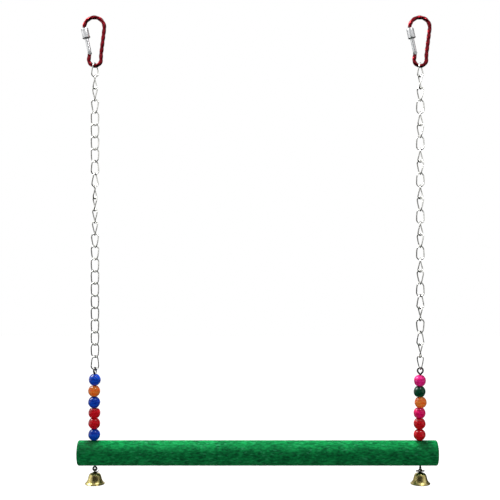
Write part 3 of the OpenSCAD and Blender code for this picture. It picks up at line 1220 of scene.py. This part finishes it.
@dataclass
class Carabiner:
    """One carabiner: a twisted rod, a sprung gate on a rivet and a lock nut."""

    finishes: Finishes
    side: Side
    link: LinkPattern
    rod_d: float = 3.4 * MM
    flat_r: float = 1.43 * MM
    rod_sides: int = 32
    step: float = 0.4 * MM
    twist_per_mm: float = -26 / 1.5
    rod_crease: float = 40.0
    bow_r: float = 5.1 * MM
    crown_r: float = 8.4 * MM
    crown_rise: float = 27 * MM
    crown_shift: float = 0.5 * MM
    bend_rise: float = 4.2 * MM
    bend_r: float = 16 * MM
    pivot_out: float = 4.3 * MM
    pivot_rise: float = 5.7 * MM
    tongue_w: float = 2.9 * MM
    tongue_t: float = 1.4 * MM
    tongue_sides: int = 32
    rivet_d: float = 1.2 * MM
    rivet_sides: int = 24
    gate_d: float = 3.1 * MM
    gap: float = 0.3 * MM
    wire_gap: float = 0.25 * MM
    play: float = 0.05 * MM
    nut_sides: int = 72
    nut_crease: float = 30.0
    nut_d: float = 5.9 * MM
    nut_l: float = 8.5 * MM
    nut_seat: float = 0.9 * MM
    nut_round: float = 0.22 * MM
    nut_shoulder: float = 0.5 * MM
    nut_taper: float = 0.12 * MM
    socket_d: float = 4.7 * MM
    socket_l: float = 2.4 * MM
    collar_w: float = 0.35 * MM
    collar_h: float = 1.1 * MM
    collar_slope: float = 0.55 * MM
    collar_foot: float = 0.1 * MM
    flute_turn: float = 5.0
    flute_edge: float = 0.03 * MM
    flute_depth: float = 0.09 * MM

    def origin(self) -> Vector:
        """Give the rod's middle at the bottom of the lower bend.

        Returns:
            The place of the carabiner's own origin.
        """
        top_link = Chain.middle_of(f"{self.side.value}_chain_link_1")
        rise = self.link.inner_length / 2 - self.wire_gap - self.rod_d / 2
        return Vector((top_link.x, 0, top_link.z + rise))

    def pivot(self) -> Vector:
        """Give the gate's pivot in the carabiner's own plane."""
        return Vector((-self.pivot_out, self.bow_r + self.pivot_rise))

    def nose(self) -> Vector:
        """Give the rod's end in the carabiner's own plane."""
        return Vector((-self.crown_shift - self.crown_r, self.bow_r + self.crown_rise))

    @staticmethod
    def touch(point: Vector, centre: Vector, radius: float) -> float:
        """Give the angle at which a line from a point touches a circle on its left."""
        away = point - centre
        return math.atan2(away.y, away.x) + math.acos(radius / away.length)

    @staticmethod
    def on_circle(centre: Vector, radius: float, angle: float) -> Vector:
        """Give a point of a circle."""
        return centre + radius * Vector((math.cos(angle), math.sin(angle)))

    def straight(self, start: Vector, end: Vector) -> list[Vector]:
        """Give even points from a start up to an end, without the end."""
        count = math.ceil((end - start).length / self.step)
        return [start.lerp(end, k / count) for k in range(count)]

    def bend(self, centre: Vector, radius: float, start: float, end: float) -> list[Vector]:
        """Give even points along an arc, without its end."""
        count = math.ceil(radius * abs(end - start) / self.step)
        return [self.on_circle(centre, radius, start + (end - start) * k / count)
                for k in range(count)]

    def rod_line(self) -> list[Vector]:
        """Draw the rod's middle line, from its tongue round to its nose.

        Returns:
            Even points in the carabiner's own plane.
        """
        bow = Vector((0, self.bow_r))
        crown = Vector((-self.crown_shift, self.bow_r + self.crown_rise))
        corner = Vector((self.bow_r, self.bow_r + self.bend_rise))
        pivot = self.pivot()
        bow_from = self.touch(pivot, bow, self.bow_r)
        bow_start = self.on_circle(bow, self.bow_r, bow_from)
        spine_to = self.touch(corner, crown, self.crown_r)
        spine_end = self.on_circle(crown, self.crown_r, spine_to)
        run = (spine_end - corner).normalized()
        turn = math.atan2(run.x, run.y)
        bend = corner + Vector((self.bend_r, -self.bend_r * math.tan(turn / 2)))
        bend_start = self.on_circle(bend, self.bend_r, math.pi)
        bend_end = self.on_circle(bend, self.bend_r, math.pi - turn)
        tongue = (pivot - bow_start).normalized()
        rod_end = pivot - (self.tongue_w / 2 + self.gap) * tongue
        return (self.straight(rod_end, bow_start)
                + self.bend(bow, self.bow_r, bow_from, 2 * math.pi)
                + self.straight(Vector((self.bow_r, self.bow_r)), bend_start)
                + self.bend(bend, self.bend_r, math.pi, math.pi - turn)
                + self.straight(bend_end, spine_end)
                + self.bend(crown, self.crown_r, spine_to, math.pi)
                + [self.nose()])

    def section(self) -> Piece:
        """Draw the rod's section: a square with well rounded corners.

        Returns:
            The section, as a flat curve.
        """
        clear_selection()
        bpy.ops.curve.primitive_bezier_circle_add(radius=1)
        ring = named("rod_section")
        ring.data.splines.clear()
        power = math.log(0.5) / math.log(self.rod_d / 2 / math.sqrt(2) / self.flat_r)
        spline = ring.data.splines.new("POLY")
        spline.points.add(self.rod_sides - 1)
        for k, point in enumerate(spline.points):
            angle = 2 * math.pi * (k + 0.5) / self.rod_sides
            out, up = math.cos(angle), math.sin(angle)
            radius = self.flat_r / (abs(out) ** power + abs(up) ** power) ** (1 / power)
            point.co = (radius * out, radius * up, 0, 1)
        spline.use_cyclic_u = True
        ring.data.dimensions = "2D"
        return ring

    def rod(self) -> Piece:
        """Model the rod: its section swept and twisted along its line, and its flat tongue.

        Returns:
            The rod.
        """
        section = self.section()
        clear_selection()
        bpy.ops.curve.primitive_nurbs_path_add()
        piece = named(f"{self.side.value}_carabiner_rod")
        curve = piece.data
        curve.splines.clear()
        line = self.rod_line()
        spline = curve.splines.new("POLY")
        spline.points.add(len(line) - 1)
        travelled = 0.0
        for k, (point, spot) in enumerate(zip(spline.points, line)):
            travelled += (spot - line[k - 1]).length if k else 0.0
            point.co = (spot.x, 0, spot.y, 1)
            point.tilt = math.radians(self.twist_per_mm * travelled / MM)
        curve.dimensions = "3D"
        curve.twist_mode = "MINIMUM"
        curve.bevel_mode = "OBJECT"
        curve.bevel_object = section
        curve.use_fill_caps = True
        hold(piece)
        bpy.ops.object.convert(target="MESH")
        piece = bpy.context.active_object
        drop(section)
        face_outwards(piece)
        combine(piece, self.tongue(), Work.ADD)
        drill = self.cross_pin("rivet_drill", self.rivet_sides, self.rivet_d / 2 + self.play,
                               2 * self.rod_d)
        combine(piece, drill, Work.CUT)
        settle(piece, Matrix.Translation(self.origin()))
        smooth(piece, self.rod_crease)
        return piece

    def tongue(self) -> Piece:
        """Model the rod's flattened end: a thin block with a round head at the pivot.

        Returns:
            The tongue, with its foot inside the rod's end.
        """
        line = self.rod_line()
        pivot = Vector((self.pivot().x, 0, self.pivot().y))
        foot = Vector((line[0].x, 0, line[0].y))
        way = (pivot - foot).normalized()
        piece = self.cross_pin("rod_tongue", self.tongue_sides, self.tongue_w / 2, self.tongue_t)
        reach = (pivot - foot).length + self.gap
        with editing(piece):
            pick(piece, Part.FACES, lambda spot, run: abs(run.y) < ACROSS
                 and run.dot(way) < -ACROSS)
            bpy.ops.mesh.extrude_region_move(
                TRANSFORM_OT_translate={"value": tuple(-reach * way)})
        return piece

    def cross_pin(self, name: str, sides: int, radius: float, length: float) -> Piece:
        """Model a pin across the carabiner at the gate's pivot, in its own plane."""
        pivot = self.pivot()
        return cylinder(name, sides, radius, length, (pivot.x, 0, pivot.y), ALONG_Y)

    def gate_place(self) -> Matrix:
        """Give the gate's axis.

        Returns:
            A place at the pivot, whose Z runs to the nose.
        """
        pivot = self.pivot()
        way = self.nose() - pivot
        turn = math.atan2(way.x, way.y)
        return (Matrix.Translation(self.origin() + Vector((pivot.x, 0, pivot.y)))
                @ Matrix.Rotation(turn, 4, "Y"))

    def nut(self) -> Piece:
        """Model the lock nut: a sleeve with a collar, a wide mouth and fine flutes.

        Returns:
            The nut, in its place round the gate.
        """
        low = (self.nose() - self.pivot()).length - self.nut_seat - self.nut_l
        high = low + self.nut_l
        inner = self.gate_d / 2 + self.play
        socket = self.socket_d / 2
        outer = self.nut_d / 2
        collar = outer + self.collar_w
        collar_top = low + self.collar_h
        soft = self.nut_round
        outline = [
            (inner, low + soft), (inner + soft, low), (collar - self.collar_slope, low),
            (collar, low + self.collar_slope), (collar, collar_top - soft),
            (collar - soft, collar_top), (outer, collar_top + self.collar_foot),
            (outer, high - self.nut_shoulder), (outer - self.nut_taper, high - soft),
            (outer - 2 * soft, high), (socket + soft, high), (socket, high - soft),
            (socket, high - self.socket_l), (inner, high - self.socket_l)]
        piece = turned(f"{self.side.value}_nut_sleeve", outline, self.nut_sides, closed=True)
        flutes_low = collar_top + self.collar_foot
        flutes_high = high - self.nut_shoulder
        with editing(piece):
            pick(piece, Part.FACES, lambda spot, run: abs(run.z) < ACROSS
                 and math.hypot(spot.x, spot.y) > outer - self.nut_taper
                 and flutes_low < spot.z < flutes_high
                 and int(math.degrees(math.atan2(spot.y, spot.x)) // self.flute_turn) % 2 == 0)
            bpy.ops.mesh.inset(thickness=self.flute_edge, depth=-self.flute_depth,
                               use_individual=True)
        settle(piece, self.gate_place())
        smooth(piece, self.nut_crease)
        return piece

    def build(self) -> None:
        """Model the rod and the nut, and dress the pieces that stay as they are."""
        side = self.side.value
        rod = self.rod()
        self.finishes.dress(rod, "red_rod")
        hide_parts(f"{side}_carabiner_body")
        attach(rod, "hangers")
        nut = self.nut()
        self.finishes.dress(nut, "nut_silver")
        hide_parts(f"{side}_carabiner_lock_nut")
        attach(nut, f"{side}_lock_nut")
        for part, slot in (("gate", "gate_silver"), ("rivet", "gate_silver"),
                           ("plunger", "spring_steel"), ("spring", "spring_steel")):
            self.finishes.dress_node(f"{side}_carabiner_{part}", slot)
        LOG.info("%s carabiner: rod on hangers, nut on %s_lock_nut", side, side)


# Studio

def hide(piece: Piece, *kinds: Rays) -> None:
    """Hide a lamp or a card from some kinds of rays."""
    for kind in kinds:
        setattr(piece, kind.value, False)


@dataclass(frozen=True)
class SoftBox:
    """A soft lamp: where it hangs, its width and depth, its watts and which rays miss it."""

    name: str
    place: Spot
    size: tuple[float, float]
    power: float
    missed_by: Rays


@dataclass(frozen=True)
class Card:
    """A card that only polished surfaces show.

    It has a middle, a width and a height, a turn about Z in degrees, and a tone that is 1 for
    plain white and 0 for black.
    """

    name: str
    place: Spot
    size: tuple[float, float]
    turn: float
    tone: float
    upright: bool = True


@dataclass
class Studio:
    """A plain white studio: floor, soft light from above and round about, and the camera."""

    floor_z: float = -0.24
    floor_size: float = 8.0
    floor_glow: float = 0.93
    floor_mirrored: float = 0.75
    paper: Colour = (0.3, 0.3, 0.3, 1)
    sky: Colour = (0.92, 0.95, 1, 1)
    sky_strength: float = 0.46
    aim: Spot = (0, 0, 0.15)
    under_gap: float = 0.005
    under_size: float = 2.0
    camera_place: Spot = (-0.00635, -0.8, 0.1956)
    lens: float = 68.9
    sensor: float = 36.0
    reach: float = 20.0

    BOXES = (
        SoftBox("overhead_box", (-0.05, 0.32, 1.25), (0.5, 0.4), 31.0, Rays.GLOSSY),
        SoftBox("front_box", (-0.1, -1.25, 0.45), (0.5, 0.5), 2.4, Rays.GLOSSY),
        SoftBox("left_box", (-0.87, 0.13, 1.16), (0.6, 0.6), 26.0, Rays.DIFFUSE),
        SoftBox("right_box", (0.47, -0.46, 1.3), (0.34, 0.34), 6.0, Rays.DIFFUSE),
    )
    CARDS = (
        Card("front_card", (0, -0.86, 0.13), (1.0, 0.74), 0, 0.0),
        Card("right_card", (0.55, 0.4, 0.28), (0.94, 1.04), -58, 0.1),
        Card("left_card", (-0.4, 0.55, 0.15), (0.3, 0.78), 36, 0.25),
        Card("front_flag", (-0.02, -0.15, 0.01), (0.51, 0.5), 0, 0.04),
        Card("left_glow", (-1.1, -0.1, 0.3), (0.2, 0.8), 90, 2.6),
    )

    def build(self) -> None:
        """Set up the floor, the surroundings, the lights and the camera."""
        bpy.context.scene.view_settings.view_transform = "Standard"
        self.floor()
        self.surroundings()
        for box in self.BOXES:
            self.soft_box(box)
        under = Card("under_card", (0, 0, self.floor_z + self.under_gap),
                     (self.under_size, self.under_size), 0, 0.0, upright=False)
        for card in self.CARDS + (under,):
            self.card(card)
        self.camera()
        LOG.info("studio ready")

    @staticmethod
    def white_share(recipe: Recipe) -> Socket:
        """Tell the rays that see plain white from those that see the dim light.

        Args:
            recipe: The tree to work in.

        Returns:
            1 for rays from the camera, off a mirror or through glass, and 0 for others.
        """
        rays = recipe.add("LightPath").outputs
        seen = recipe.math(Sum.MAXIMUM, rays["Is Camera Ray"], rays["Is Glossy Ray"])
        return recipe.math(Sum.MAXIMUM, seen, rays["Is Transmission Ray"])

    def floor(self) -> None:
        """Lay the floor: it looks white, and keeps the swing's shadow."""
        clear_selection()
        bpy.ops.mesh.primitive_plane_add(size=self.floor_size, location=(0, 0, self.floor_z))
        piece = settle(named("studio_floor"))
        recipe = Recipe("studio_floor")
        paper = recipe.add("BsdfDiffuse", Color=self.paper)
        rays = recipe.add("LightPath").outputs
        mirrored = recipe.math(Sum.MULTIPLY, rays["Is Glossy Ray"], self.floor_mirrored)
        seen = recipe.math(Sum.MAXIMUM, rays["Is Camera Ray"], rays["Is Transmission Ray"])
        shown = recipe.math(Sum.MULTIPLY, seen, self.floor_glow)
        strength = recipe.math(Sum.MAXIMUM, shown, mirrored)
        glow = recipe.add("Emission", Color=WHITE, Strength=strength)
        both = recipe.add("AddShader")
        recipe.set(both, 0, paper.outputs[0])
        recipe.set(both, 1, glow.outputs[0])
        recipe.add("OutputMaterial", Surface=both.outputs[0])
        piece.data.materials.append(recipe.material)

    def surroundings(self) -> None:
        """Light the swing dimly from all round, in front of plain white."""
        world = bpy.context.scene.world or bpy.data.worlds.new("studio")
        bpy.context.scene.world = world
        world.use_nodes = True
        recipe = WorldRecipe(world)
        dim = recipe.add("Background", Color=self.sky, Strength=self.sky_strength)
        white = recipe.add("Background", Color=WHITE, Strength=1.0)
        choice = recipe.add("MixShader", Fac=self.white_share(recipe))
        recipe.set(choice, 1, dim.outputs[0])
        recipe.set(choice, 2, white.outputs[0])
        recipe.add("OutputWorld", Surface=choice.outputs[0])

    def soft_box(self, box: SoftBox) -> None:
        """Hang a soft box that points at the middle of the swing.

        Args:
            box: The soft box.
        """
        lamp = bpy.data.lights.new(box.name, "AREA")
        lamp.shape = "RECTANGLE"
        lamp.size, lamp.size_y = box.size
        lamp.energy = box.power
        holder = bpy.data.objects.new(box.name, lamp)
        holder.location = box.place
        way = Vector(self.aim) - Vector(box.place)
        holder.rotation_euler = way.to_track_quat("-Z", "Y").to_euler()
        hide(holder, Rays.CAMERA, box.missed_by)
        bpy.context.scene.collection.objects.link(holder)

    @staticmethod
    def card(card: Card) -> None:
        """Stand up a card, or lay it down.

        Args:
            card: The card.
        """
        clear_selection()
        bpy.ops.mesh.primitive_plane_add(size=1)
        bpy.ops.transform.resize(value=(*card.size, 1), center_override=(0, 0, 0))
        place = Matrix.Translation(card.place) @ Matrix.Rotation(math.radians(card.turn), 4, "Z")
        if card.upright:
            place = place @ Matrix.Rotation(math.pi / 2, 4, "X")
        piece = settle(named(card.name), place)
        recipe = Recipe(card.name)
        glow = recipe.add("Emission", Color=WHITE, Strength=card.tone)
        recipe.add("OutputMaterial", Surface=glow.outputs[0])
        piece.data.materials.append(recipe.material)
        hide(piece, Rays.CAMERA, Rays.DIFFUSE, Rays.SHADOW, Rays.TRANSMISSION)

    def camera(self) -> None:
        """Stand the camera level in front of the swing."""
        lens = bpy.data.cameras.new("camera")
        lens.lens = self.lens
        lens.sensor_width = self.sensor
        lens.clip_end = self.reach
        holder = bpy.data.objects.new("camera", lens)
        holder.location = self.camera_place
        holder.rotation_euler = ALONG_Y
        bpy.context.scene.collection.objects.link(holder)
        bpy.context.scene.camera = holder


class WorldRecipe(Recipe):
    """The surroundings' node tree, filled as a material's is."""

    def __init__(self, world: bpy.types.World) -> None:
        """Empty the world's tree and take it over.

        Args:
            world: The scene's world.
        """
        self.name = world.name
        self.material = world
        world.node_tree.nodes.clear()


def main() -> None:
    """Build the studio and every piece of the swing."""
    logging.basicConfig(level=logging.INFO, format="%(message)s")
    finishes = Finishes()
    Studio().build()
    Perch(finishes).build()
    for side in Side:
        BeadStack(finishes, side).build()
    link = LinkPattern()
    pattern = link.build()
    for side in Side:
        Chain(finishes, side, pattern).build()
    drop(pattern)
    for side in Side:
        Bell(finishes, side).build()
        Carabiner(finishes, side, link).build()
        finishes.dress_node(f"{side.value}_eye_pin", "pin_steel")


if __name__ == "__main__":
    main()
